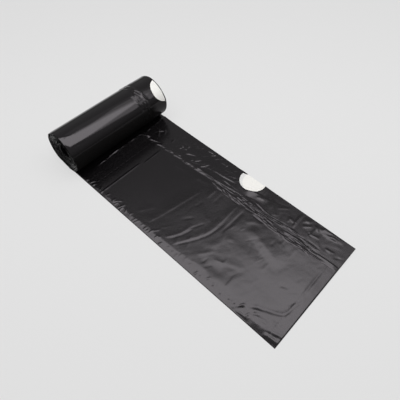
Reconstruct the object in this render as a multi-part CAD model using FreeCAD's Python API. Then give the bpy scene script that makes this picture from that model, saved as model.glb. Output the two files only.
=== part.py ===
import FreeCAD, Part
import math
import os

# A roll of black drawstring bags, wound without a core, with the outermost bag unrolled.
# The bags are one long web of tube film, folded in half so that bottom and mouth lie together.
# +X runs along the roll to the bags' mouths, +Y away from the loose bag, and +Z is up.
# The origin is at the bottom centre of the whole part.

# The web
web_width = 236.0
loose_length = 522.0  # from the line where the roll rests to the torn end
bag_pitch = 450.0  # from one perforation to the next
film_pack = 2.4  # a bag's plies lying loose, with the air and tapes between them
lap_depth = 0.3  # how far the outer turn beds into the loose bag under it

# The roll
roll_radius = 45.5
core_radius = 14.0
roll_shift = 2.6  # the roll has slid this far towards the folded edge
bundle_thickness = 7.2  # the turns stick together in bundles
groove_width = 1.2
groove_depth = 3.0
groove_start = 2.3  # under the roll's outer face
groove_wall = 1.2  # left round the hollow

# Side seals and perforation, all across the web
seal_margin = 19.0  # from a perforation to the seal on either side of it
seal_width = 2.6
seal_height = 1.2
slit_length = 10.0
slit_width = 0.6
slit_pitch = 14.0

# The hem at the mouth, with a half moon punched out of its edge so that a hand can reach the tapes
punch_radius = 24.0
punch_inset = 8.0  # from the hem's edge to the half moon's centre
roll_punch_radius = 28.5  # the film is drawn wider where it goes round the roll
roll_punch_overrun = 7.5  # its centre is this far past the roll's end
bag_slack = 26.0  # film taken up where the next bag goes under the roll
weld_inset = 61.0  # from the hem's edge to the weld that closes it
weld_rise = 1.1
weld_width = 6.0

# The drawtapes
tape_width = 34.0
tape_thickness = 0.5
tape_gap = 0.1
hem_skin = 0.3  # film between a tape and the outside, and at the hem's edge

# The small gathers that pucker the weld, along the loose bag and round the roll
gathers_per_turn = 12
gather_length = 8.0
gather_sway = 2.5

# The loose bag's folds: points as shares of the way across and down it, then the share of
# the highest fold's height and of the usual half width
fold_height = 2.4
fold_width = 11.0
folds = (
    (((0.07, 0.5), (0.18, 0.56), (0.29, 0.59), (0.45, 0.6), (0.71, 0.585)), 1.0, 1.0),
    (((0.62, 0.67), (0.55, 0.73), (0.5, 0.79), (0.465, 0.855)), 0.85, 1.4),
    (((0.085, 0.835), (0.195, 0.945), (0.38, 0.97)), 0.7, 1.0),
    (((0.07, 0.405), (0.39, 0.435), (0.61, 0.45)), 0.5, 1.0),
    (((0.83, 0.385), (0.835, 0.45), (0.87, 0.515)), 0.55, 1.0),
    (((0.85, 0.61), (0.865, 0.66)), 0.55, 1.0),
    (((0.755, 0.79), (0.87, 0.86), (0.975, 0.92)), 0.55, 1.1),
    (((0.1, 0.63), (0.16, 0.73)), 0.4, 1.1),
)
# The weld's course: shares of its own width sideways and of the way down the bag
weld_line = (
    (-0.8, 0.0),
    (-0.7, 0.1),
    (0.3, 0.21),
    (0.2, 0.38),
    (0.0, 0.53),
    (-0.5, 0.68),
    (-0.8, 0.855),
    (1.0, 1.0),
)
fold_grid = 14.0  # the folds are worked out at points this far apart
flat_start = 14.0  # the loose bag lies flat this far from the resting line
flat_fade = 30.0  # and the folds rise over this distance

winding_step = film_pack - lap_depth
gather_pitch = 2 * math.pi * roll_radius / gathers_per_turn
seal_run = bag_pitch - 2 * seal_margin
torn_end = -loose_length
perforation = torn_end + bag_pitch
punch_station = torn_end + 0.5 * bag_pitch
roll_punch_station = punch_station + bag_pitch + bag_slack
tape_levels = {
    "outer": hem_skin + tape_gap,
    "inner": film_pack - hem_skin - tape_gap - tape_thickness,
}


def vector(x, y, z):
    return FreeCAD.Vector(x, y, z)


def half_turn(number, step):
    """Centre height and radius of a half turn. Odd ones have their centre half a step higher."""
    return roll_radius + 0.5 * step * (number % 2), roll_radius - 0.5 * step * number


def on_web(x, station, depth, step=winding_step):
    """A point this deep under the web's outer face. A station is the distance along the web from
    the resting line: it is negative on the loose bag and grows into the roll, over its back."""
    if station <= 0:
        return vector(x, station, depth)
    number = 0
    centre, radius = half_turn(number, step)
    while station > math.pi * radius + 1e-6:
        station -= math.pi * radius
        number += 1
        centre, radius = half_turn(number, step)
    side = 1 if number % 2 == 0 else -1
    angle = station / radius
    reach = radius - depth
    return vector(x, side * reach * math.sin(angle), centre - side * reach * math.cos(angle))


def turn_stops(step, count):
    """The stations where the half turns begin and the last one ends."""
    stops = [0.0]
    for number in range(count):
        stops.append(stops[-1] + math.pi * half_turn(number, step)[1])
    return stops


def web_edges(x, stops, depth, step):
    """Straight and round edges along the web from stop to stop."""
    edges = []
    for start, end in zip(stops, stops[1:]):
        first = on_web(x, start, depth, step)
        last = on_web(x, end, depth, step)
        if min(start, end) < 0:
            edges.append(Part.LineSegment(first, last).toShape())
        else:
            middle = on_web(x, 0.5 * (start + end), depth, step)
            edges.append(Part.Arc(first, middle, last).toShape())
    return edges


def web_band(x_low, x_high, start, end, outer, inner, step=winding_step):
    """A solid stretch of the web between two stations and two depths."""
    inside = [stop for stop in turn_stops(step, 20) if start + 1e-6 < stop < end - 1e-6]
    stops = [start] + inside + [end]
    edges = web_edges(x_low, stops, outer, step)
    edges.append(
        Part.LineSegment(on_web(x_low, end, outer, step), on_web(x_low, end, inner, step)).toShape()
    )
    edges += web_edges(x_low, stops[::-1], inner, step)
    edges.append(
        Part.LineSegment(on_web(x_low, start, inner, step), on_web(x_low, start, outer, step)).toShape()
    )
    return Part.Face(Part.Wire(edges)).extrude(vector(x_high - x_low, 0, 0))


def distance_to(points, x, down):
    """Distance from a place on the bag to a line through these points."""
    nearest = float("inf")
    for (x_a, down_a), (x_b, down_b) in zip(points, points[1:]):
        run_x, run_down = x_b - x_a, down_b - down_a
        share = ((x - x_a) * run_x + (down - down_a) * run_down) / (run_x**2 + run_down**2)
        share = min(max(share, 0.0), 1.0)
        nearest = min(nearest, math.hypot(x - x_a - share * run_x, down - down_a - share * run_down))
    return nearest


def bag_top(x, down):
    """Height of the loose bag's upper face, which is its plies and the rounded folds in them."""
    rise = 0.0
    for shares, height, half_width in folds:
        points = [(across * web_width, along * loose_length) for across, along in shares]
        distance = distance_to(points, x, down) / (half_width * fold_width)
        rise += fold_height * height * math.exp(-(distance**2))
    fade = min(max((down - flat_start) / flat_fade, 0.0), 1.0)
    return film_pack + fade * fade * (3 - 2 * fade) * rise


def space_over_bag():
    """Everything above the loose bag's upper face, as one block to cut away."""
    columns = math.ceil(web_width / fold_grid) + 2
    rows = math.ceil(loose_length / fold_grid) + 4
    grid = [
        [
            vector((column - 1) * fold_grid, -(row - 2) * fold_grid, 0)
            for column in range(columns + 1)
        ]
        for row in range(rows + 1)
    ]
    for row in grid:
        for point in row:
            point.z = bag_top(point.x, -point.y)
    surface = Part.BSplineSurface()
    surface.interpolate(grid)
    return surface.toShape().extrude(vector(0, 0, 4 * film_pack))


def loose_bag():
    """The unrolled bag, flat underneath and creased on top."""
    plate = Part.makeBox(web_width, loose_length, 3 * film_pack, vector(0, torn_end, 0))
    return plate.cut(space_over_bag())


def end_grooves():
    """The spiral gap between bundles of turns, as deep at one end of the roll as at the other."""
    room = roll_radius - groove_start - groove_width - core_radius - groove_wall
    half_turns = math.floor(room / (0.5 * bundle_thickness))
    end = turn_stops(bundle_thickness, half_turns)[-1]
    grooves = []
    for x_low in (-roll_shift, web_width - roll_shift - groove_depth):
        grooves.append(
            web_band(
                x_low,
                x_low + groove_depth,
                0.0,
                end,
                groove_start,
                groove_start + groove_width,
                bundle_thickness,
            )
        )
    return grooves


def roll_turns():
    """The wound turns as one solid, with the hollow left by the spindle and the end grooves."""
    left = -roll_shift
    stops = turn_stops(winding_step, 2)
    edges = web_edges(left, stops, 0.0, winding_step)
    edges.append(
        Part.LineSegment(on_web(left, stops[-1], 0.0), on_web(left, 0.0, 0.0)).toShape()
    )
    turns = Part.Face(Part.Wire(edges)).extrude(vector(web_width, 0, 0))
    hollow = Part.makeCylinder(core_radius, web_width, vector(left, 0, roll_radius), vector(1, 0, 0))
    return turns.cut(hollow).cut(end_grooves())


def weld_place(down):
    """How far the weld has wandered sideways this far down the loose bag."""
    share = down / loose_length
    for (side_a, share_a), (side_b, share_b) in zip(weld_line, weld_line[1:]):
        if share <= share_b:
            break
    part = min((share - share_a) / (share_b - share_a), 1.0)
    return weld_width * (side_a + (side_b - side_a) * part)


def weld_ribbon():
    """The weld along the loose bag: a low ribbon that sways from one gather to the next."""
    count = math.floor((loose_length - flat_start) / gather_pitch)
    left, right = [], []
    for number in range(count + 1):
        down = flat_start + (loose_length - flat_start) * number / count
        sway = gather_sway * math.sin(2.3 * number)
        middle = web_width - weld_inset + weld_place(down) + sway
        half = 0.5 * weld_width * (1 + 0.35 * math.sin(3.9 * number))
        left.append(vector(middle - half, -down, film_pack - lap_depth))
        right.append(vector(middle + half, -down, film_pack - lap_depth))
    outline = Part.makePolygon(left + right[::-1] + left[:1])
    return Part.Face(outline).extrude(vector(0, 0, lap_depth + weld_rise))


def weld_gathers():
    """Short raised creases that follow the weld round the roll."""
    middle = web_width - roll_shift - weld_inset
    gathers = []
    for number in range(1, gathers_per_turn):
        station = number * gather_pitch
        x_low = middle + gather_sway * math.sin(2.3 * number) - 0.5 * weld_width
        gathers.append(
            web_band(
                x_low,
                x_low + weld_width,
                station - 0.5 * gather_length,
                station + 0.5 * gather_length,
                -weld_rise,
                lap_depth,
            )
        )
    return gathers


def seal_presses():
    """The space over each side seal, where the plies are welded thin."""
    presses = []
    for station in (
        torn_end + seal_margin,
        perforation - seal_margin,
        perforation + seal_margin,
    ):
        presses.append(
            Part.makeBox(
                web_width + 2,
                seal_width,
                4 * film_pack,
                vector(-1, station - 0.5 * seal_width, seal_height),
            )
        )
    return presses


def perforation_slits():
    """The row of slits along which the bag tears off."""
    count = math.floor((web_width - slit_length) / slit_pitch)
    margin = 0.5 * (web_width - (count - 1) * slit_pitch - slit_length)
    slits = []
    for number in range(count):
        corner = vector(margin + number * slit_pitch, perforation - 0.5 * slit_width, -1)
        slits.append(Part.makeBox(slit_length, slit_width, 4 * film_pack, corner))
    return slits


def loose_punch():
    """The half moon through the loose bag's hem."""
    centre = vector(web_width - punch_inset, punch_station, -1)
    return Part.makeCylinder(punch_radius, 6 * film_pack, centre)


def roll_punch():
    """The half moon in the next bag's hem, through the outer turn only."""
    x = web_width - roll_shift + roll_punch_overrun
    deep = on_web(x, roll_punch_station, 2 * film_pack)
    axis = on_web(x, roll_punch_station, -film_pack) - deep
    drill = Part.makeCylinder(roll_punch_radius, 6 * film_pack, deep - axis, axis)
    turn = web_band(
        web_width - roll_shift - roll_punch_radius,
        web_width,
        roll_punch_station - 1.4 * roll_punch_radius,
        roll_punch_station + 1.4 * roll_punch_radius,
        -2 * film_pack,
        winding_step,
    )
    return drill.common(turn)


def in_hem(edge, start, end, level, gap):
    """A tape's own space in the hem, wider than the tape by this gap all round."""
    return web_band(
        edge - hem_skin - tape_gap - tape_width - gap,
        edge - hem_skin - tape_gap + gap,
        start - gap,
        end + gap,
        tape_levels[level] - gap,
        tape_levels[level] + tape_thickness + gap,
    )


def hems():
    """Where each bag's tapes lie: name, edge of the hem, first and last station."""
    reach = 0.5 * seal_width + tape_gap
    loose = torn_end + seal_margin
    following = perforation + seal_margin
    return (
        ("loose_bag", web_width, loose + reach, loose + seal_run - reach),
        ("next_bag", web_width - roll_shift, following + reach, following + seal_run - reach),
    )


def bag_web():
    """The whole web of film: the roll and the loose bag, which is still joined to it."""
    film = loose_bag().fuse([roll_turns(), weld_ribbon()] + weld_gathers())
    film = film.cut(seal_presses() + perforation_slits())
    film = film.cut([loose_punch(), roll_punch()])
    for name, edge, start, end in hems():
        film = film.cut([in_hem(edge, start, end, level, tape_gap) for level in tape_levels])
    return film


def on_origin(shape):
    """The same shape with the part's bottom centre at the origin."""
    middle_x = 0.5 * (web_width - roll_shift)
    middle_y = 0.5 * (roll_radius + weld_rise - loose_length)
    return shape.translated(vector(-middle_x, -middle_y, 0))


os.makedirs("parts", exist_ok=True)
pieces = {"bag_web": bag_web()}
for bag, hem_edge, first_station, last_station in hems():
    for tape_level in tape_levels:
        pieces[f"{bag}_{tape_level}_drawtape"] = in_hem(
            hem_edge, first_station, last_station, tape_level, 0.0
        )
for node, piece in pieces.items():
    placed = on_origin(piece)
    placed.exportStep(f"parts/{node}.step")
    print(node, placed.isValid(), len(placed.Solids), round(placed.Volume, 1), placed.BoundBox)
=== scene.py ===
from math import pi, radians

import bmesh
import bpy
import numpy as np
from mathutils import Euler, Matrix, Vector


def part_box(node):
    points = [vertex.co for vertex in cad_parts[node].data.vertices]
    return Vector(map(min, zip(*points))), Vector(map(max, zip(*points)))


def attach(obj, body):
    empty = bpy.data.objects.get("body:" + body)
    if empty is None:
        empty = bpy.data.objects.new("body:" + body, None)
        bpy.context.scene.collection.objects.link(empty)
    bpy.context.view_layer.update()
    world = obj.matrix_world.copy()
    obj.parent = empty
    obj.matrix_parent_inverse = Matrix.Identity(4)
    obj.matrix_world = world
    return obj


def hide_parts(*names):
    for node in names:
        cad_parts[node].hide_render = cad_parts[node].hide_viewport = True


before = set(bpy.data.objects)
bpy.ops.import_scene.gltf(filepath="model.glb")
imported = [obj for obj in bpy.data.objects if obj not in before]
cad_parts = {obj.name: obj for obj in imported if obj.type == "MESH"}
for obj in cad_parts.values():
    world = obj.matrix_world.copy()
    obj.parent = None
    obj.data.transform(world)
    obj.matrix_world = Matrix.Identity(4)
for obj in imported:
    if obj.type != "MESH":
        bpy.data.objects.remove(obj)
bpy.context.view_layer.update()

# The table top: one wide sheet of plain pale card. Long soft lamps hang over the loose bag, and
# a pale room gives the rest of the light. The camera looks down from the bag's free end, over
# the folded edge.
camera_place = Vector((-0.31795, -0.31284, 0.62522))
look_down, look_right, lean = 0.9529, 0.8217, 0.0092  # radians
camera_data = bpy.data.cameras.new("camera")
camera_data.sensor_width = 36.0
camera_data.lens = 35.769
camera = bpy.data.objects.new("camera", camera_data)
turned = Euler((radians(90) - look_down, 0.0, -look_right)).to_matrix() @ Matrix.Rotation(lean, 3, "Z")
camera.matrix_world = Matrix.Translation(camera_place) @ turned.to_4x4()
bpy.context.collection.objects.link(camera)
bpy.context.scene.camera = camera
bpy.context.scene.view_settings.view_transform = "Standard"


class Flow:
    """A socket of a node tree. Arithmetic on it adds Math nodes, and numbers stay numbers."""

    def __init__(self, tree, socket=None):
        self.tree = tree
        self.socket = socket

    def node(self, kind, settings=None, inputs=None, output=0):
        """Adds a node: its settings are set first, then its inputs get values or links. A
        ramp's stops are pairs of a place and a grey."""
        new = self.tree.nodes.new("ShaderNode" + kind)
        for name, value in (settings or {}).items():
            if name == "stops":
                ramp = new.color_ramp.elements
                while len(ramp) < len(value):
                    ramp.new(0.5)
                for stop, (place, grey) in zip(ramp, value):
                    stop.position = place
                    stop.color = (grey, grey, grey, 1.0)
            else:
                setattr(new, name, value)
        for name, value in (inputs or {}).items():
            if isinstance(value, Flow):
                self.tree.links.new(value.socket, new.inputs[name])
            else:
                new.inputs[name].default_value = value
        return Flow(self.tree, new.outputs[output] if len(new.outputs) else None)

    def maths(self, operation, first, second=0.0):
        return self.node("Math", {"operation": operation}, {0: first, 1: second})

    def __add__(self, other):
        return self.maths("ADD", self, other)

    __radd__ = __add__

    def __mul__(self, other):
        return self.maths("MULTIPLY", self, other)

    __rmul__ = __mul__

    def __sub__(self, other):
        return self.maths("SUBTRACT", self, other)

    def __rsub__(self, other):
        return self.maths("SUBTRACT", other, self)

    def rise(self, low, high):
        """0 below low, 1 above high, and a smooth step between them."""
        return self.node(
            "MapRange",
            {"interpolation_type": "SMOOTHSTEP"},
            {"Value": self, "From Min": low, "From Max": high},
        )


def new_material(name):
    """An empty material, and the start of its node tree."""
    material = bpy.data.materials.new(name)
    material.use_nodes = True
    material.node_tree.nodes.clear()
    return material, Flow(material.node_tree)


def new_piece(name, mesh, material, smooth=True):
    """A shown object at the origin, with one material."""
    piece = bpy.data.objects.new(name, mesh)
    mesh.materials.append(material)
    mesh.shade_smooth() if smooth else mesh.shade_flat()
    bpy.context.collection.objects.link(piece)
    return piece


# each lamp: its span across and along the line of sight, in metres from a point over the table,
# and its glow. Those that share a near edge add up to a lamp that fades towards its far edge.
lamp_foot = Vector((0.089, 0.044, 0.826))
lamp_turn = Matrix.Rotation(-look_right, 3, "Z")
lamp_gap = 0.002  # each hangs a little over the last, because lamps in one plane hide each other
for number, (left_end, right_end, near_edge, far_edge, glow) in enumerate(
    (
        (-0.67, 0.46, -0.242, 0.15, 0.6),
        (-0.67, 0.48, -0.242, 0.175, 0.7),
        (-0.67, 0.5, -0.242, 0.195, 0.7),
        (-0.67, 0.52, -0.242, 0.215, 0.6),
        (-0.67, 0.54, -0.242, 0.24, 0.6),
        (0.5, 1.2, -0.255, 0.17, 1.25),
        (-0.05, 0.9, 0.2, 0.38, 0.65),
        (-0.4, 0.9, 0.2, 0.5, 0.16),
    )
):
    lamp_data = bpy.data.lights.new(f"long_lamp_{number}", "AREA")
    lamp_data.shape = "RECTANGLE"
    lamp_data.size = right_end - left_end
    lamp_data.size_y = far_edge - near_edge
    lamp_data.energy = glow * pi * lamp_data.size * lamp_data.size_y
    lamp = bpy.data.objects.new(lamp_data.name, lamp_data)
    middle = Vector((0.5 * (left_end + right_end), 0.5 * (near_edge + far_edge), lamp_gap * number))
    lamp.matrix_world = Matrix.Translation(lamp_foot + lamp_turn @ middle) @ lamp_turn.to_4x4()
    bpy.context.collection.objects.link(lamp)

world = bpy.data.worlds.new("pale_room")
world.use_nodes = True
world.node_tree.nodes.clear()
room = Flow(world.node_tree)
direction = room.node("TexCoord")
height = room.node("SeparateXYZ", None, {0: direction}, "Z")
room_shade = room.node(
    "ValToRGB", {"stops": [(0.0, 0.17), (0.2, 0.25), (0.45, 0.35), (1.0, 0.38)]}, {"Fac": height}
)
room_glow = room.node("Background", None, {"Color": room_shade, "Strength": 1.0})
room.node("OutputWorld", None, {"Surface": room_glow})
bpy.context.scene.world = world

# the card is darker far from the bag, and where the camera or a mirror sees it, most of its light
# is its own, so that it looks evenly pale but keeps a soft shadow
card_reach = 2.5  # metres over which its shade is given
glow_end, glow_gone = 0.96, 1.3  # metres from the middle between which its own light fades
card, ink = new_material("pale_card")
place = ink.node("TexCoord", None, None, "Object")
away = ink.node("VectorMath", {"operation": "LENGTH"}, {0: place}, "Value")
card_shade = ink.node(
    "ValToRGB",
    {"stops": [(0.0, 0.6), (0.38, 0.72), (0.56, 0.4), (1.0, 0.25)]},
    {"Fac": (1 / card_reach) * away},
)
surface = ink.node(
    "BsdfPrincipled", None, {"Base Color": card_shade, "Roughness": 0.9, "Specular IOR Level": 0.0}
)
even = ink.node("Emission", None, {"Color": (0.825, 0.825, 0.825, 1.0), "Strength": 1.0})
camera_ray = ink.node("LightPath", None, None, "Is Camera Ray")
glossy_ray = ink.node("LightPath", None, None, "Is Glossy Ray")
clear_ray = ink.node("LightPath", None, None, "Is Transmission Ray")
seen = camera_ray + glossy_ray + clear_ray
near = 1 - away.rise(glow_end, glow_gone)
blend = ink.node("MixShader", None, {0: 0.75 * seen * near, 1: surface, 2: even})
ink.node("OutputMaterial", None, {"Surface": blend})
half, top_height = 4.0, -0.0001
floor_mesh = bpy.data.meshes.new("table_top")
floor_mesh.from_pydata(
    [(half * x, half * y, top_height) for x, y in ((-1, -1), (1, -1), (1, 1), (-1, 1))], [], [(0, 1, 2, 3)]
)
table_top = new_piece("table_top", floor_mesh, card, smooth=False)

# The drawtapes: flat white polythene ribbon, cast with fine lines along it. Each runs loose in
# its own hem and is caught in the side seals at its ends. They keep the shape of the solids, and
# the loose bag's look a little greyer where black plies lie right behind them.
web_width = 0.236
loose_length = 0.522
bag_low, bag_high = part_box("bag_web")
fold_edge = bag_high[0] - web_width  # x of the folded edge of the loose bag
rest_line = bag_low[1] + loose_length  # y of the line where the roll rests
moon_across, moon_down, moon_radius = 0.976, 1.243, 0.1165  # shares of the web's width
moon_slip = 0.036  # how far down the bag the back plies' half moon lies from the front one
# tape lower than the first of these is the loose bag's, and higher than the second the roll's
strip_height, roll_height = 0.006, 0.02

white_tape, mix = new_material("white_tape")
place = mix.node("TexCoord", None, None, "Object")
back_moon = (fold_edge + web_width * moon_across, rest_line - web_width * (moon_down + moon_slip), 0.0)
flat_place = mix.node("VectorMath", {"operation": "MULTIPLY"}, {0: place, 1: (1.0, 1.0, 0.0)})
off = mix.node("VectorMath", {"operation": "DISTANCE"}, {0: flat_place, 1: back_moon}, "Value")
height = mix.node("SeparateXYZ", None, {0: place}, "Z")
moon_edge = web_width * moon_radius
backed = off.rise(moon_edge - 0.0005, moon_edge + 0.0015) * (1 - height.rise(strip_height, roll_height))
colour = mix.node(
    "Mix",
    {"data_type": "RGBA"},
    {0: backed, 6: (0.9, 0.885, 0.85, 1.0), 7: (0.755, 0.75, 0.74, 1.0)},
    2,
)
along = mix.node("Mapping", None, {"Vector": place, "Scale": (1500.0, 12.0, 12.0)})
lines = mix.node("TexNoise", None, {"Vector": along, "Scale": 1.0, "Detail": 2.0})
relief = mix.node("Bump", None, {"Height": lines, "Strength": 0.5, "Distance": 0.00005})
surface = mix.node("BsdfPrincipled", None, {"Base Color": colour, "Roughness": 0.38, "Normal": relief})
mix.node("OutputMaterial", None, {"Surface": surface})
for tape in (
    "loose_bag_inner_drawtape",
    "loose_bag_outer_drawtape",
    "next_bag_inner_drawtape",
    "next_bag_outer_drawtape",
):
    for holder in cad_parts[tape].material_slots:
        holder.material = white_tape

# The loose bag: tube film folded in half and laid flat on the table, joined to the roll at one
# end and torn off along its perforation at the other. It is black polythene a few hundredths of
# a millimetre thick, with side seals across it and a weld that closes the hem along its mouth.
tape_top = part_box("loose_bag_inner_drawtape")[1][2]
body_height = 0.0016
hem_height = tape_top + 0.00035


def film(name, shade, roughness, crumpling, painted_shade_share=None):
    """Black polythene film: fine die lines along the web and a slight crumple under the gloss.
    Where the last argument is given, it works out the share of the surface that gets painted
    shade: a matte dark finish with no gloss."""
    material, mix = new_material(name)
    place = mix.node("TexCoord", None, None, "Object")
    along = mix.node("Mapping", None, {"Vector": place, "Scale": (900.0, 14.0, 14.0)})
    die_lines = mix.node("TexNoise", None, {"Vector": along, "Scale": 1.0, "Detail": 3.0, "Roughness": 0.6})
    crumple = mix.node("TexNoise", None, {"Vector": place, "Scale": 170.0, "Detail": 4.0, "Roughness": 0.6})
    relief = mix.node(
        "Bump", None, {"Height": 0.25 * die_lines + crumple, "Strength": crumpling, "Distance": 0.00018}
    )
    cloud = mix.node("TexNoise", None, {"Vector": place, "Scale": 28.0, "Detail": 3.0})
    surface = mix.node(
        "BsdfPrincipled",
        None,
        {
            "Base Color": (shade, 0.9 * shade, shade, 1.0),
            "Roughness": roughness * (0.85 + 0.3 * cloud),
            "IOR": 1.5,
            "Specular Tint": (1.0, 0.94, 0.99, 1.0),
            "Normal": relief,
        },
    )
    # painted shade: a matte dark finish mixed in by the given share
    if painted_shade_share is not None:
        dull = mix.node(
            "BsdfPrincipled",
            None,
            {"Base Color": (0.009, 0.0085, 0.0085, 1.0), "Roughness": 0.7, "Specular IOR Level": 0.0},
        )
        surface = mix.node("MixShader", None, {0: painted_shade_share(mix, place), 1: surface, 2: dull})
    mix.node("OutputMaterial", None, {"Surface": surface})
    return material


black_film = film("black_film", 0.005, 0.22, 0.3)


def swell(value, low, high):
    """0 up to low, 1 from high on, and a smooth step between them."""
    share = np.clip((value - low) / (high - low), 0.0, 1.0)
    return share * share * (3 - 2 * share)


def waves(across, down, length, seed, count=12, tents=False):
    """Uneven waves of about unit size: a sum of sines that have random directions, starts and
    lengths, from 0.6 to 1.6 of the length. As tents they rise and fall in straight lines."""
    dice = np.random.default_rng(seed)
    turn, start = dice.uniform(0, 2 * pi, (2, count))
    size = length * dice.uniform(0.6, 1.6, count)
    total = 0.0
    for angle, phase, period in zip(turn, start, size):
        wave = np.sin(2 * pi * (across * np.cos(angle) + down * np.sin(angle)) / period + phase)
        total = total + (np.arcsin(wave) if tents else wave)
    return total / (0.5 * count) ** 0.5


def rounded(line):
    """The line with its corners cut three times, which makes it a smooth bend."""
    line = np.array(line, float)
    for _ in range(3 if len(line) > 2 else 0):
        inner = np.stack((0.75 * line[:-1] + 0.25 * line[1:], 0.25 * line[:-1] + 0.75 * line[1:]), 1)
        line = np.concatenate((line[:1], inner.reshape(-1, 2), line[-1:]))
    return line


def add_crease(rise, across, down, line, height, near, far, seed=0, tent=False):
    """Adds a crease along a line of points to rise. Its height falls from the line as
    exp(-(d / reach)^2), or as 1 - d / reach for a tent. The reach is near on one side and far on
    the other: for a line that goes down the bag, near is the side of the folded edge, and for one
    that goes across it from there, the side of the free end. The crease fades at both ends and
    swells and sinks a little along its length."""
    uneven = 0.12
    line = rounded(line)
    reach = 2.6 * max(near, far)
    low, high = line.min(0) - reach, line.max(0) + reach
    window = (across > low[0]) & (across < high[0]) & (down > low[1]) & (down < high[1])
    x, s = across[window], down[window]
    best, side, travel, gone = np.full(x.shape, np.inf), np.zeros(x.shape), np.zeros(x.shape), 0.0
    for (x0, s0), (x1, s1) in zip(line, line[1:]):
        dx, ds = x1 - x0, s1 - s0
        run = np.hypot(dx, ds)
        share = np.clip(((x - x0) * dx + (s - s0) * ds) / run**2, 0.0, 1.0)
        off = np.hypot(x - x0 - share * dx, s - s0 - share * ds)
        closer = off < best
        best = np.where(closer, off, best)
        side = np.where(closer, dx * (s - s0) - ds * (x - x0), side)
        travel = np.where(closer, gone + share * run, travel)
        gone += run
    fade = min(max(0.06, 2 * near), 0.35 * gone)
    ends = swell(travel, 0.0, fade) * swell(gone - travel, 0.0, fade)
    change = 1 + uneven * waves(travel, 0 * travel, 0.2, 500 + seed, 6)
    away_by = best / np.where(side > 0, near, far)
    rise[window] += height * ends * change * (np.maximum(1 - away_by, 0) if tent else np.exp(-(away_by**2)))


def scatter(rise, across, down, middle, count, seed, ranges, tent=False):
    """Adds many short creases, or tents, round a middle line. Each has a slight bend, and its
    own distance to the side of the line, angle, length, height and reach, drawn evenly from the
    five ranges. Heights are in mm."""
    spread, angle, lengths, heights, reaches = ranges
    dice = np.random.default_rng(seed)
    low, high = middle[0][0], middle[-1][0]
    for number in range(count):
        s = low + (high - low) * (number + dice.uniform(0, 1)) / count
        x = course(s, middle) + dice.uniform(*spread)
        way = dice.uniform(*angle)
        half = 0.5 * dice.uniform(*lengths)
        bend = dice.uniform(-0.12, 0.12) * half
        step = np.array((np.sin(way), np.cos(way)))
        across_step = np.array((step[1], -step[0]))
        centre = np.array((x, s))
        line = (centre - half * step, centre + bend * across_step, centre + half * step)
        reach = dice.uniform(*reaches)
        height = 0.001 * dice.uniform(*heights)
        add_crease(rise, across, down, line, height, reach, 1.4 * reach, number, tent)


def course(value, points):
    """Straight lines through the points of a table."""
    return np.interp(value, *zip(*points))


# where the weld runs, and how wide the film turns down towards the folded edge, as it goes down
# the bag; and over the width, where the film's crest in front of the roll lies, and how high
weld_course = (
    (0.0, 0.7), (0.23, 0.705), (0.41, 0.725), (0.84, 0.74), (1.18, 0.74), (1.5, 0.725), (1.89, 0.72),
    (2.22, 0.75),
)
edge_course = (
    (0.0, 0.02), (0.3, 0.022), (0.5, 0.03), (0.62, 0.045), (0.72, 0.04), (0.85, 0.045), (1.1, 0.06),
    (1.3, 0.068), (1.55, 0.092), (1.8, 0.1), (1.9, 0.075), (2.0, 0.045), (2.22, 0.03),
)
crest_course = (
    (0.0, 0.17), (0.25, 0.165), (0.4, 0.155), (0.66, 0.155), (0.72, 0.175), (0.8, 0.16), (1.0, 0.15),
)
crest_size = ((0.0, 0.2), (0.2, 0.45), (0.42, 1.0), (0.66, 1.0), (0.74, 0.6), (0.85, 0.5), (1.0, 0.4))
crest_height = 0.0042
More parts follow.
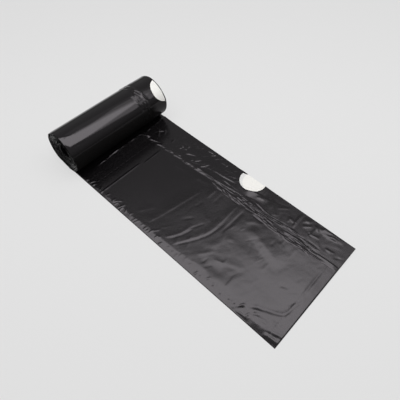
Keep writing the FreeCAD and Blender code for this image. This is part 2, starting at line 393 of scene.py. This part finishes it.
# the soft folds and the sharp ones: points as shares of the width, across and down the bag, then
# the height in mm and the reach on both sides
soft_folds = (
    (((0.01, 0.414), (0.2, 0.412), (0.47, 0.41)), 0.55, 0.0045, 0.009),
    (((0.45, 0.433), (0.58, 0.43), (0.7, 0.426)), 0.4, 0.005, 0.009),
    (((0.02, 0.235), (0.3, 0.238), (0.66, 0.24)), 0.15, 0.006, 0.009),
    (((0.77, 0.3), (0.83, 0.24), (0.86, 0.21)), 0.9, 0.007, 0.012),
    (((0.79, 0.22), (0.84, 0.25), (0.88, 0.29)), 0.7, 0.007, 0.01),
    (((0.82, 0.31), (0.86, 0.3), (0.89, 0.26)), 0.6, 0.007, 0.01),
    (((0.8, 0.435), (0.87, 0.425)), 0.7, 0.007, 0.012),
    (((0.0, 0.262), (0.035, 0.27), (0.07, 0.29)), 0.5, 0.006, 0.008),
    (((0.0, 0.3), (0.06, 0.31)), 0.4, 0.006, 0.008),
    (((0.01, 0.55), (0.05, 0.57), (0.09, 0.62)), 0.6, 0.007, 0.009),
    (((0.0, 0.62), (0.04, 0.64), (0.085, 0.655)), 0.6, 0.007, 0.009),
    (((0.0, 0.94), (0.05, 0.965)), 0.4, 0.008, 0.01),
    (((0.08, 0.76), (0.16, 0.8), (0.24, 0.855)), 0.3, 0.014, 0.03),
    (((0.08, 0.9), (0.25, 0.94), (0.44, 0.972), (0.6, 0.995)), 0.42, 0.013, 0.04),
    (((0.56, 1.08), (0.71, 1.083)), 0.4, 0.012, 0.03),
    (((0.55, 1.16), (0.7, 1.15)), -0.25, 0.02, 0.012),
    (((0.07, 1.09), (0.143, 1.14), (0.206, 1.167), (0.33, 1.188)), 0.28, 0.007, 0.02),
    (((0.08, 1.125), (0.15, 1.165), (0.21, 1.19), (0.32, 1.21)), -0.2, 0.01, 0.006),
    (
        ((0.07, 1.18), (0.206, 1.25), (0.3, 1.3), (0.41, 1.322), (0.566, 1.321), (0.7, 1.313)),
        0.36, 0.007, 0.04,
    ),
    (((0.09, 1.2), (0.2, 1.27), (0.3, 1.322), (0.42, 1.345), (0.55, 1.345)), -0.25, 0.012, 0.007),
    (((0.4, 1.385), (0.56, 1.387), (0.7, 1.385)), -0.5, 0.02, 0.01),
    (((0.13, 1.36), (0.2, 1.42), (0.27, 1.46)), 0.25, 0.015, 0.02),
    (((0.24, 1.4), (0.36, 1.44), (0.46, 1.5)), 0.22, 0.02, 0.03),
    (((0.18, 1.5), (0.24, 1.58), (0.3, 1.72)), 0.3, 0.02, 0.03),
    (((0.135, 1.38), (0.15, 1.5), (0.15, 1.66)), -0.4, 0.035, 0.03),
    (((0.2, 1.48), (0.215, 1.54), (0.235, 1.6)), 0.3, 0.01, 0.014),
    (((0.6, 1.45), (0.66, 1.51), (0.685, 1.6)), 0.4, 0.018, 0.02),
    (((0.64, 1.66), (0.66, 1.73), (0.66, 1.82)), -0.3, 0.02, 0.03),
    (((0.06, 1.705), (0.14, 1.7), (0.23, 1.693)), 0.3, 0.03, 0.01),
    (((0.57, 1.735), (0.65, 1.728)), -0.3, 0.015, 0.01),
    (((0.36, 1.96), (0.39, 2.0), (0.395, 2.05)), -0.35, 0.014, 0.014),
    (
        ((0.089, 1.89), (0.143, 1.97), (0.198, 2.095), (0.23, 2.13), (0.354, 2.144), (0.39, 2.17)),
        -0.7, 0.014, 0.02,
    ),
    (((0.4, 2.14), (0.55, 2.133), (0.69, 2.13)), -0.35, 0.011, 0.016),
    (((0.04, 1.9), (0.08, 1.96), (0.13, 2.03)), -0.4, 0.012, 0.014),
    (((0.03, 2.06), (0.045, 2.12), (0.06, 2.21)), -0.5, 0.014, 0.014),
    (((0.13, 2.08), (0.135, 2.15), (0.12, 2.22)), -0.35, 0.01, 0.012),
    (((0.64, 0.62), (0.66, 0.7), (0.665, 0.78)), 0.25, 0.012, 0.012),
    (((0.665, 0.84), (0.68, 0.92), (0.7, 1.02)), 0.6, 0.02, 0.02),
    (((0.63, 0.6), (0.655, 0.7), (0.66, 0.82)), 0.3, 0.012, 0.012),
    (((0.83, 0.9), (0.84, 1.05), (0.86, 1.17)), 0.9, 0.009, 0.014),
    (((0.95, 0.72), (0.975, 0.78), (0.96, 0.84)), 0.9, 0.008, 0.01),
    (((0.93, 0.78), (0.96, 0.82), (0.985, 0.83)), 0.7, 0.008, 0.01),
    (((0.93, 0.9), (0.95, 0.95), (0.945, 1.0)), 0.7, 0.008, 0.012),
    (((0.79, 0.53), (0.84, 0.545), (0.88, 0.53)), 0.9, 0.007, 0.01),
    (((0.81, 0.58), (0.86, 0.585), (0.92, 0.575)), 0.9, 0.007, 0.01),
    (((0.87, 0.5), (0.89, 0.54), (0.875, 0.6)), 0.7, 0.007, 0.009),
    (((0.79, 0.6), (0.83, 0.66), (0.85, 0.72)), 0.8, 0.007, 0.01),
    (((0.78, 0.72), (0.82, 0.76), (0.86, 0.77)), 0.8, 0.007, 0.01),
    (((0.77, 0.8), (0.81, 0.84), (0.87, 0.86)), 0.8, 0.007, 0.01),
    (((0.9, 1.42), (0.95, 1.4), (1.0, 1.38)), 0.3, 0.01, 0.014),
    (((0.8, 1.62), (0.88, 1.52), (0.96, 1.48)), 0.4, 0.012, 0.02),
    (((0.8, 1.76), (0.88, 1.75), (0.99, 1.745)), 0.9, 0.01, 0.014),
    (((0.57, 1.893), (0.7, 1.89)), 0.25, 0.012, 0.02),
    (((0.82, 1.89), (0.9, 1.9), (0.98, 1.9)), 0.5, 0.01, 0.012),
    (((0.93, 1.95), (0.96, 2.05), (0.97, 2.13)), 0.9, 0.016, 0.012),
    (((0.82, 2.0), (0.87, 2.08), (0.9, 2.17)), -0.5, 0.02, 0.02),
)
sharp_folds = (
    (((0.14, 0.168), (0.26, 0.165), (0.34, 0.158), (0.44, 0.155)), 0.42, 0.006, 0.012),
    (((0.36, 0.157), (0.5, 0.155), (0.66, 0.155), (0.73, 0.168)), 0.2, 0.006, 0.012),
    (((0.72, 0.178), (0.8, 0.16), (0.86, 0.158), (0.98, 0.15)), 0.42, 0.006, 0.012),
    (((0.748, 0.76), (0.758, 0.87), (0.764, 0.97), (0.757, 1.08)), 2.0, 0.028, 0.012),
    (((0.728, 0.62), (0.74, 0.72), (0.75, 0.81)), 1.15, 0.016, 0.012),
    (((0.694, 0.16), (0.706, 0.2), (0.722, 0.25)), 0.75, 0.009, 0.012),
    (((0.7, 0.235), (0.712, 0.28), (0.726, 0.33)), 0.75, 0.009, 0.012),
    (((0.704, 0.33), (0.716, 0.38), (0.73, 0.43)), 0.75, 0.009, 0.012),
    (((0.71, 0.42), (0.722, 0.48), (0.736, 0.55)), 0.75, 0.009, 0.012),
    (((0.716, 0.52), (0.728, 0.59), (0.74, 0.67)), 0.75, 0.009, 0.012),
    (((0.835, 1.23), (0.885, 1.33), (0.9, 1.47)), 2.0, 0.055, 0.02),
    (((0.965, 1.9), (0.985, 2.02), (0.985, 2.13)), 1.6, 0.045, 0.015),
    (((0.742, 1.92), (0.757, 2.02), (0.764, 2.12), (0.762, 2.22)), 1.5, 0.032, 0.012),
    (((0.47, 1.86), (0.47, 2.0), (0.46, 2.26)), 0.95, 0.24, 0.22),
    (((0.57, 1.06), (0.5, 1.02), (0.3, 1.0), (0.15, 0.95)), 0.9, 0.15, 0.25),
    (((0.6, 1.5), (0.575, 1.6), (0.545, 1.7), (0.515, 1.8), (0.475, 1.925)), 1.4, 0.06, 0.13),
)
# the small creases: the line they lie along, how many, their seed and their ranges
upper_weld = ((0.16, 0.7), (0.23, 0.705), (0.41, 0.728), (0.7, 0.74))
upper_weld_ranges = ((-0.012, 0.02), (0.1, 0.4), (0.05, 0.1), (0.5, 0.8), (0.007, 0.01))
upper_weld_puckers = (upper_weld, 9, 21, upper_weld_ranges)
crest_line = ((0.2, 0.168), (0.36, 0.16), (0.5, 0.158), (0.69, 0.165), (0.97, 0.155))
crest_ranges = ((-0.006, 0.006), (-0.25, 0.25), (0.05, 0.1), (0.05, 0.2), (0.004, 0.006))
crest_creases = (crest_line, 30, 20, crest_ranges)
lower_weld = ((1.06, 0.745), (1.18, 0.745), (1.5, 0.745), (1.89, 0.745), (2.0, 0.755))
upper_hem = ((0.4, 0.84), (1.15, 0.84))
lower_hem = ((1.4, 0.88), (2.18, 0.9))
body_middle = ((1.0, 0.38), (2.18, 0.38))
edge_strip = ((0.2, 0.02), (1.4, 0.03), (2.0, 0.06))
free_corner = ((1.84, 0.09), (2.2, 0.07))
small_creases = (
    (lower_weld, 135, 22, ((-0.045, 0.06), (-0.16, 0.16), (0.08, 0.26), (-0.7, 1.1), (0.0035, 0.0065))),
    (upper_hem, 50, 23, ((-0.07, 0.13), (-0.5, 1.5), (0.05, 0.14), (0.2, 0.34), (0.0042, 0.006))),
    (lower_hem, 44, 24, ((-0.07, 0.08), (-1.5, 1.5), (0.05, 0.13), (-0.5, 0.7), (0.007, 0.013))),
    (body_middle, 46, 25, ((-0.3, 0.3), (0.6, 2.2), (0.05, 0.16), (-0.25, 0.25), (0.006, 0.013))),
    (edge_strip, 40, 26, ((-0.01, 0.03), (0.9, 2.2), (0.03, 0.07), (0.2, 0.6), (0.005, 0.008))),
    (free_corner, 26, 27, ((-0.07, 0.07), (-0.5, 0.9), (0.1, 0.22), (-0.24, 0.3), (0.006, 0.011))),
)
torn_down = loose_length / web_width
side_seals = (0.24, torn_down - 0.0805)  # where the seals cross the bag
slit_line, slit_pitch = 0.305, 0.034  # the perforation to the next bag


def loose_top(across, down):
    """Height of the bag's upper side over the table, in metres. Both places are shares of the
    width. It is the plies lying loose, higher over the tapes, turned down in a straight slope
    towards the folded edge, and rising in front of the roll to a crest; then the slack waves,
    the folds, the weld's bead and puckers and the small creases; and last the pressed seals and
    the slits. It is kept over the tapes and the table by log(1 + exp(rise)), and beside the tapes
    it comes down to half its height at the torn end."""
    weld = course(down, weld_course)
    edge = course(down, edge_course) * (1 + 0.08 * waves(0 * down, down, 0.16, 2))
    in_hem = swell(across - weld, -0.02, 0.02)
    lift = 0.0006 * swell(down, 0.3, 1.0)
    turned_down = np.clip(1 - across / edge, 0, 1)
    rise = body_height + (hem_height - body_height) * in_hem
    rise = rise + lift * np.exp(-((np.maximum(across - edge, 0) / 0.12) ** 2))
    rise = rise - (body_height + lift - 0.0003) * turned_down
    rise = rise + 0.0016 * swell(across, weld - 0.3, weld - 0.02) * swell(down, 0.7, 1.2) * (1 - in_hem)
    crest = course(across, crest_course)
    before = np.clip((0.3 - down) / (0.3 - crest), 0, 1) ** 2.2
    behind = 1 - swell(crest - down, 0, 0.03)
    rise = rise + crest_height * course(across, crest_size) * np.where(down > crest, before, behind)
    slack = swell(down, 0.8, 1.5) * (1 - 0.5 * in_hem)
    rise = rise + 0.00018 * slack * waves(across, down, 0.42, 8, 5, True)
    rise = rise + 0.00006 * slack * waves(across, down, 0.2, 10, 6, True)
    rise = rise + 0.00005 * waves(across, down, 0.4, 11) + 0.00003 * np.abs(waves(across, down, 0.09, 9))
    for number, (line, height, near, far) in enumerate(soft_folds):
        add_crease(rise, across, down, line, 0.001 * height, near, far, number)
    sway = 0.005 * waves(0 * across, down, 0.12, 3) + 0.003 * waves(0 * across, down, 0.04, 4)
    bead = np.exp(-(((across - weld - sway) / 0.012) ** 2))
    rise = rise + 0.0003 * bead * (1 - 0.7 * swell(down, 0.9, 1.2))
    scatter(rise, across, down, *upper_weld_puckers, tent=True)
    scatter(rise, down, across, *crest_creases)  # these run across the bag
    for creases in small_creases:
        scatter(rise, across, down, *creases)
    for line, height, near, far in sharp_folds:
        add_crease(rise, across, down, line, 0.001 * height, near, far, tent=True)
    for seal in side_seals:
        rise = rise - 0.0002 * np.exp(-(((down - seal) / 0.005) ** 2)) * (1 - 0.6 * turned_down)
    slits = swell(np.sin(2 * pi * across / slit_pitch), -0.3, 0.3)
    rise = rise - 0.0004 * slits * np.exp(-(((down - slit_line) / 0.0028) ** 2))
    over_tape = across > weld + 0.05
    least = np.where(over_tape, tape_top + 0.00012, 0.00035)
    softness = 0.00012
    rise = least + np.logaddexp(0, (rise - least) / softness) * softness
    torn_edge = 1 - 0.5 * swell(down, torn_down - 0.005, torn_down)
    return np.where(over_tape, rise, rise * torn_edge)


snap_reach = 0.0034  # share of the width within which a grid's points move onto a half moon
moon_lift, moon_lift_reach = 0.0007, 0.03  # the film rises a little round the half moon


def round_notch(across, down, centre, radius):
    """Moves the points near a circle straight out or in onto it. Gives the new places, and for
    each point -1 if it is inside, 0 if it is on the circle and 1 if it is outside."""
    dx, ds = across - centre[0], down - centre[1]
    away_by = np.hypot(dx, ds)
    on = np.abs(away_by - radius) < snap_reach
    scale = np.where(on, radius / np.maximum(away_by, 1e-9), 1.0)
    return centre[0] + dx * scale, centre[1] + ds * scale, np.where(on, 0, np.sign(away_by - radius))


def triangles(rows, columns, side):
    """Two triangles for each cell of the grid, split so that none crosses the circle. Gives
    those outside it and those inside it."""
    corner = (np.arange(rows - 1)[:, None] * columns + np.arange(columns - 1)).ravel()
    a, b, c, d = corner, corner + 1, corner + columns + 1, corner + columns
    on = side.ravel() == 0
    other = (on[b] & on[d] & ~(on[a] & on[c]))[:, None]
    first = np.where(other, np.stack((a, b, d), 1), np.stack((a, b, c), 1))
    second = np.where(other, np.stack((b, c, d), 1), np.stack((a, c, d), 1))
    both = np.concatenate((first, second))
    total = side.ravel()[both].sum(1)
    return both[total >= 0], both[total < 0]


# the grid is finer along the weld and the hem; down the bag it is finest at the crest, and finer
# on the half next to the roll than on the other
across_stops = np.concatenate(
    (
        np.linspace(0, 0.1, 17)[:-1],
        np.linspace(0.1, 0.68, 61)[:-1],
        np.linspace(0.68, 0.84, 67)[:-1],
        np.linspace(0.84, 1, 58),
    )
)
down_stops = np.concatenate(
    (
        np.linspace(0, 0.12, 9)[:-1],
        np.linspace(0.12, 0.2, 31)[:-1],
        np.linspace(0.2, 0.55, 80)[:-1],
        np.linspace(0.55, 1.1, 131)[:-1],
        np.linspace(1.1, torn_down, 191),
    )
)
across, down = np.meshgrid(across_stops, down_stops)
across, down, side = round_notch(across, down, (moon_across, moon_down), moon_radius)
from_moon = np.maximum(np.hypot(across - moon_across, down - moon_down) - moon_radius, 0)
top = loose_top(across, down) + moon_lift * np.exp(-((from_moon / moon_lift_reach) ** 2))
points = np.stack(
    (fold_edge + web_width * across, rest_line - web_width * down, top), -1
).reshape(-1, 3)
outside, inside = triangles(*across.shape, side)
outside = outside[:, ::-1]
used, faces = np.unique(outside, return_inverse=True)
bag_mesh = bpy.data.meshes.new("loose_bag")
bag_mesh.from_pydata(points[used].tolist(), [], faces.reshape(-1, 3).tolist())
# the rim goes down to the table in two steps, and the underside is one flat face
shell = bmesh.new()
shell.from_mesh(bag_mesh)
rim = [edge for edge in shell.edges if edge.is_boundary]
for level in (0.5, 0.0):
    grown = bmesh.ops.extrude_edge_only(shell, edges=rim)["geom"]
    corners = [part for part in grown if isinstance(part, bmesh.types.BMVert)]
    bmesh.ops.scale(shell, vec=(1.0, 1.0, level), verts=corners)
    rim = [part for part in grown if isinstance(part, bmesh.types.BMEdge) and part.is_boundary]
bmesh.ops.holes_fill(shell, edges=rim, sides=0)
bmesh.ops.recalc_face_normals(shell, faces=shell.faces[:])
shell.to_mesh(bag_mesh)
shell.free()
loose_bag = new_piece("loose_bag", bag_mesh, black_film)
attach(loose_bag, "root")
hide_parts("bag_web")

# The hem's tongue: the punch slips a little from ply to ply, so that at the half moon's end next
# to the roll a tongue of black film reaches past the corner, along the edge of the hem.
half_chord = (moon_radius**2 - (1 - moon_across) ** 2) ** 0.5
tongue_root = moon_down - half_chord - 0.004
tongue_length = moon_slip + 0.006
tongue_rings = 14

# straight in plan along the hem's edge, with an inner side that comes in as share^2, and sinking
# evenly from the bag's top to the tape
share = np.linspace(0, 1, tongue_rings)
tongue_width = 0.004 + 0.011 * (1 - share**2)
root_height = top[np.abs(down_stops - tongue_root).argmin(), -1]
tongue_top = root_height * (1 - share) + (tape_top + 0.0005) * share
inset = np.stack((0 * share, 0 * share, tongue_width, tongue_width), 1)
sunk = np.array((0.00005, 0.0004, 0.0004, 0.00005))
x = fold_edge + web_width * (1 - inset)
y = rest_line - web_width * (tongue_root + tongue_length * share[:, None]) + 0 * inset
z = tongue_top[:, None] - sunk
ring = np.arange(4)
a = 4 * np.arange(tongue_rings - 1)[:, None] + ring
b = 4 * np.arange(tongue_rings - 1)[:, None] + (ring + 1) % 4
faces = np.stack((a, a + 4, b + 4, b), -1).reshape(-1, 4)
ends = np.stack((ring, 4 * (tongue_rings - 1) + ring[::-1]))
tongue_mesh = bpy.data.meshes.new("hem_tongue")
tongue_points = np.stack((x, y, z), -1).reshape(-1, 3)
tongue_mesh.from_pydata(tongue_points.tolist(), [], np.concatenate((faces, ends)).tolist())
hem_tongue = new_piece("hem_tongue", tongue_mesh, black_film, smooth=False)
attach(hem_tongue, "root")
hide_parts("bag_web")

# The wound turns: the rest of the web, wound tight without a core. The film comes from under
# the roll, goes up its back and over the top, and its outermost turn shows the next bag, with
# the puckered weld round it and the half moon that is punched through its hem.
roll_radius = 0.0455
winding_step = 0.0021
roll_shift = 0.0026
roll_moon_across, roll_moon_angle, roll_moon_radius = 1.021, radians(360 - 136.7), 0.121


def roll_painted_shade(mix, place):
    """Painted shade where the roll's front turns down to the loose bag: there the film gets a
    matte dark finish with no gloss, so that it stays dark. It is a smooth step down in z times
    one towards the front in y, and less at the hem."""
    x = mix.node("SeparateXYZ", None, {0: place}, "X")
    y = mix.node("SeparateXYZ", None, {0: place}, "Y")
    z = mix.node("SeparateXYZ", None, {0: place}, "Z")
    low = 1 - z.rise(1.27 * roll_radius, 1.56 * roll_radius)
    front = (rest_line - y).rise(0.0, 0.4 * roll_radius)
    at_hem = x.rise(fold_edge + 0.82 * web_width, fold_edge + 0.9 * web_width)
    return low * front * (1 - 0.45 * at_hem)


# the roll's film, with painted shade low on its front next to the loose bag
taut_film = film("taut_black_film", 0.0025, 0.11, 0.05, roll_painted_shade)


def wound(angle, depth):
    """y and z on the winding. The angle is counted from the bottom, up the back and over. Each
    half turn is an arc half a winding step smaller than the one before, and every second one has
    its centre half a step higher."""
    number = np.floor(angle / pi)
    reach = roll_radius - 0.5 * winding_step * number - depth
    centre = roll_radius + 0.5 * winding_step * (number % 2)
    return rest_line + reach * np.sin(angle), centre - reach * np.cos(angle)


def slid(angle):
    """How far the web has slid towards the folded edge: a smooth step over the roll's first
    0.8 radians."""
    return -roll_shift * swell(angle, 0.0, 0.8)


def rim_drop(angle, at_hem):
    """How far the outer turn rounds down at its two edges, fading where it meets the table. At
    the hem the tape keeps it up."""
    return (0.0008 - 0.0005 * at_hem) * swell(angle, 0.0, 0.4) * swell(2 * pi - angle, 0.0, 0.4)


def edge_sway(angle, seed):
    """Small sideways unevenness of the film's edge: waves of 0.9 radians round the roll."""
    return 0.0003 * waves(0 * angle, angle, 0.9, seed) * swell(angle, 0.0, 0.5)


# the folds on the roll: their points have angles in degrees, counted from the bottom up the front
roll_folds = (
    (((0.03, 134), (0.1, 132), (0.17, 129)), -0.2, 0.007, 0.007),
    (((0.0, 172), (0.05, 166), (0.1, 158)), 0.3, 0.01, 0.01),
    (((0.0, 160), (0.07, 163), (0.14, 163)), 0.25, 0.015, 0.01),
    (((0.76, 128), (0.785, 119), (0.84, 106)), 0.6, 0.008, 0.01),
    (((0.74, 127), (0.77, 123), (0.79, 116)), -0.4, 0.008, 0.01),
)
# the weld's course round the roll, with its puckers and creases as on the loose bag
weld_ring = ((0.1, 0.775), (1.15, 0.775))
pucker_ranges = ((-0.04, 0.05), (-0.7, 0.7), (0.05, 0.12), (0.3, 0.7), (0.01, 0.016))
crease_ranges = ((-0.045, 0.05), (-0.6, 0.6), (0.04, 0.12), (-0.7, 1.0), (0.0036, 0.0055))
ring_puckers = (weld_ring, 70, 32, pucker_ranges)
ring_creases = (weld_ring, 130, 31, crease_ranges)


def roll_relief(across, angle):
    """Height of the outer turn's surface over the plain winding: faint crumples, the step up to
    the tapes and the fall to the hem's edge, the weld drawn in with its puckers and creases, and
    the folds. It fades out where the roll rests on the table, and rounds down at both edges."""
    travel = angle * roll_radius / web_width
    rise = 0.00004 * waves(across, travel * 2.0, 0.5, 61)
    rise = rise + 0.0004 * swell(across, 0.8, 0.84) - 0.0006 * swell(across, 0.83, 1.0)
    rise = rise - 0.0003 * np.exp(-(((across - 0.765) / 0.045) ** 2))
    for number, (line, height, near, far) in enumerate(roll_folds):
        line = [(x, radians(360 - degrees) * roll_radius / web_width) for x, degrees in line]
        add_crease(rise, across, travel, line, 0.001 * height, near, far, 50 + number)
    scatter(rise, across, travel, *ring_puckers, tent=True)
    scatter(rise, across, travel, *ring_creases)
    clear = swell(angle, 0.25, 0.9) * swell(2 * pi - angle, 0.1, 0.5)
    rim = np.clip(1 - np.minimum(across / 0.03, (1 - across) / 0.012), 0, 1)
    return np.maximum(rise * clear, -0.0002) * (1 - rim) - rim_drop(angle, across > 0.5) * rim**2


across_stops = np.concatenate(
    (
        np.linspace(0, 0.03, 9)[:-1],
        np.linspace(0.03, 0.69, 98)[:-1],
        np.linspace(0.69, 0.85, 72)[:-1],
        np.linspace(0.85, 0.988, 28)[:-1],
        np.linspace(0.988, 1, 7),
    )
)
angle_stops = np.linspace(0, 2 * pi, 400)
across, angle = np.meshgrid(across_stops, angle_stops)
roll_moon_on_web = roll_moon_across + roll_shift / web_width
across, travel, side = round_notch(
    across,
    angle * roll_radius / web_width,
    (roll_moon_on_web, roll_moon_angle * roll_radius / web_width),
    roll_moon_radius,
)
angle = travel * web_width / roll_radius
rise = roll_relief(across, angle)
left_sway, right_sway = edge_sway(angle, 91), edge_sway(angle, 92)
x = fold_edge + web_width * across + slid(angle) + left_sway * (1 - across) + right_sway * across
outside, inside = triangles(*across.shape, side)


def layer(depth):
    """The grid's points at this depth under the outer face, on the winding."""
    y, z = wound(np.minimum(angle, 2 * pi - 1e-6), depth)
    return np.stack((x, y, z), -1).reshape(-1, 3)


# the outer face, the next turn's face inside the half moon, and a wall along the cut between
# them: the cut is where an edge of the outer face has only one triangle. All are turned round
# in the end, to face outwards
outer = layer(-rise)
inner = layer(winding_step + 0 * rise)
count = len(outer)
on = side.ravel() == 0
edges = np.concatenate((outside[:, (0, 1)], outside[:, (1, 2)], outside[:, (2, 0)]))
edges = edges[on[edges].all(1)]
_, which, times = np.unique(np.sort(edges, 1), axis=0, return_inverse=True, return_counts=True)
start, end = edges[times[which.ravel()] == 1].T
upper_half = np.stack((end, start, start + count), 1)
lower_half = np.stack((end, start + count, end + count), 1)
all_faces = np.concatenate((outside, inside + count, upper_half, lower_half))[:, ::-1]
used, faces = np.unique(all_faces, return_inverse=True)
turns_mesh = bpy.data.meshes.new("wound_turns")
turns_mesh.from_pydata(np.concatenate((outer, inner))[used].tolist(), [], faces.reshape(-1, 3).tolist())
wound_turns = new_piece("wound_turns", turns_mesh, taut_film)
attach(wound_turns, "root")
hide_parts("bag_web")

# The ends of the roll: the edges of all the turns, stacked in a spiral. At one end they are
# the folded edges and at the other the hems, and none is quite in line with the next.
turn_count = 15
steps = 260  # round each turn
cells = 9  # across each turn
lips = 3
streak = 0.0027  # how fast the pattern of the edges changes round the roll
hem_stand = 0.0016  # how far the plies under the outer tape reach past the hem's edge
ply_tuck = 0.0015  # how far the first of them runs in under the tape from that edge

edge_film, mix = new_material("edge_film")
layers = mix.node("Attribute", {"attribute_name": "layers"}, None, "Vector")
film_edges = mix.node(
    "TexNoise", None, {"Vector": layers, "Scale": 1000.0, "Detail": 4.0, "Roughness": 0.65}
)
relief = mix.node("Bump", None, {"Height": film_edges, "Strength": 0.8, "Distance": 0.0003})
edge_black = (0.006, 0.006, 0.006, 1.0)
gloss = mix.node(
    "BsdfPrincipled", None, {"Base Color": edge_black, "Roughness": 0.22, "IOR": 1.5, "Normal": relief}
)
dull = mix.node(
    "BsdfPrincipled", None, {"Base Color": edge_black, "Roughness": 0.7, "Specular IOR Level": 0.0}
)
dull_share = 0.2 + 0.78 * film_edges.rise(0.44, 0.54)
surface = mix.node("MixShader", None, {0: dull_share, 1: gloss, 2: dull})
mix.node("OutputMaterial", None, {"Surface": surface})


def end_profile(angle, share, seed, at_hem):
    """How far the edges stand out from the end, in metres. They form three thin lips to each
    turn, with a rounded groove between them whose depth changes round the roll. Each turn is a
    little off the last, some bundles lie further back, and the innermost turns are drawn
    in round the hollow. At the hem the plies fold round the tapes of the next bag, and those
    under its outer tape reach past it."""
    lap = angle / (2 * pi)
    turn = lap + share
    groove = np.abs(np.sin(pi * lips * share)) ** 0.8
    depth = 0.0009 + 0.0005 * waves(turn, angle, 2.2, seed)
    offset = 0.0005 * (1 + waves(turn * 0.8, 0.35 * angle, 1.4, seed + 1))
    bundle = 0.003 * np.exp(-((waves(turn * 0.7, 0.3 * angle, 2.4, seed + 3, 10) / 0.3) ** 2))
    cup = 0.0045 * swell(turn, 6.5, turn_count)
    recess = np.maximum(depth, 0.0002) * groove + np.maximum(offset, 0) * swell(turn, 0.0, 1.0)
    recess = recess + (bundle + cup) * swell(turn, 0.6, 1.6)
    if not at_hem:
        return -recess
    again = swell(lap, 1.0, 1.12)
    stand = hem_stand * swell(lap, 0.0, 0.12) * (swell(share, 0.3, 0.44) * (1 - again) + again)
    over_tapes = 1 - swell(turn, 1.7, 2.0)
    fold = 0.0007 * np.minimum(2 * np.sin(pi * share), 1)
    return stand + fold * over_tapes - recess * (1 - 0.85 * over_tapes)


def spiral_end(name, x_end, outward, seed, sway_seed):
    """A spiral strip one winding step wide, on the winding at every angle and depth. Its inner
    edge is the outer edge of the next turn, so a point is shared by both. In the half moon only
    the plies under the tape are there, and the first of them runs in under it."""
    at_hem = outward > 0
    number = np.arange(steps * (turn_count + 1) + 1)
    share = np.arange(cells) / cells
    angle, share = np.meshgrid(2 * pi * number / steps, share, indexing="ij")
    turn = share + angle / (2 * pi)
    loose = 0.0002 + 0.0007 * swell(turn, 6.0, turn_count)
    slack = waves(np.cos(angle) + 0.1 * turn, np.sin(angle) + 0.05 * turn, 1.6, seed + 2)
    rounded_in = rim_drop(angle, at_hem) * (1 - share) ** 2 * (angle < 2 * pi)
    y, z = wound(angle, winding_step * share + loose * slack * swell(turn, 1.0, 2.0) + rounded_in)
    sway = edge_sway(np.minimum(angle, 2 * pi), sway_seed) * swell(2 * pi - angle, 0, 1)
    x = x_end + slid(angle) + sway + outward * end_profile(angle, share, seed, at_hem)
    half_notch = (roll_moon_radius**2 - (roll_moon_on_web - 1) ** 2) ** 0.5 * web_width
    in_moon = at_hem & (np.abs(angle[:, 0] - roll_moon_angle) * roll_radius < half_notch)
    kept_cell = 3  # in the half moon this one runs in under the tape, and those before it are cut away
    tucked = in_moon[:, None] & (np.arange(cells) <= kept_cell)
    x = np.where(tucked, x_end - roll_shift - ply_tuck, x)
    y = np.where(tucked, y[:, kept_cell + 1, None], y)
    z = np.where(tucked, z[:, kept_cell + 1, None], z)
    points = np.stack((x, y, z), -1).reshape(-1, 3)
    columns = np.arange(cells)
    a = np.arange(steps * turn_count)[:, None] * cells + columns
    b = a + np.where(columns == cells - 1, (steps - 1) * cells + 1, 1)
    faces = np.stack((a, b, b + cells, a + cells), -1)
    if at_hem:
        faces = faces[~(in_moon[: steps * turn_count, None] & (columns < kept_cell)), ::-1]
    used, faces = np.unique(faces.reshape(-1, 4), return_inverse=True)
    mesh = bpy.data.meshes.new(name)
    mesh.from_pydata(points[used].tolist(), [], faces.reshape(-1, 4).tolist())
    pattern = np.stack((turn * winding_step, streak * np.cos(angle), streak * np.sin(angle)), -1)
    pattern = pattern.reshape(-1, 3)[used].ravel()
    mesh.attributes.new("layers", "FLOAT_VECTOR", "POINT").data.foreach_set("vector", pattern)
    piece = new_piece(name, mesh, edge_film)
    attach(piece, "root")
    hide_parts("bag_web")
    return points.reshape(-1, cells, 3)[steps * turn_count :, 0]


left_ring = spiral_end("folded_edges", fold_edge, -1, 101, 91)
right_ring = spiral_end("hem_edges", fold_edge + web_width, 1, 111, 92)

# The hollow: the innermost turn's inner face, which runs straight from one end's last ring to
# the other's, and is left open by the spindle that is drawn out once the web is wound.
share = np.linspace(0, 1, 24)[:, None, None]
wall_points = left_ring * (1 - share) + right_ring * share
rows, ring = wall_points.shape[:2]
a = np.arange(rows - 1)[:, None] * ring + np.arange(ring)
b = np.arange(rows - 1)[:, None] * ring + (np.arange(ring) + 1) % ring
faces = np.stack((a, a + ring, b + ring, b), -1).reshape(-1, 4)
hollow_mesh = bpy.data.meshes.new("hollow")
hollow_mesh.from_pydata(wall_points.reshape(-1, 3).tolist(), [], faces.tolist())
hollow = new_piece("hollow", hollow_mesh, black_film)
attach(hollow, "root")
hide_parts("bag_web")
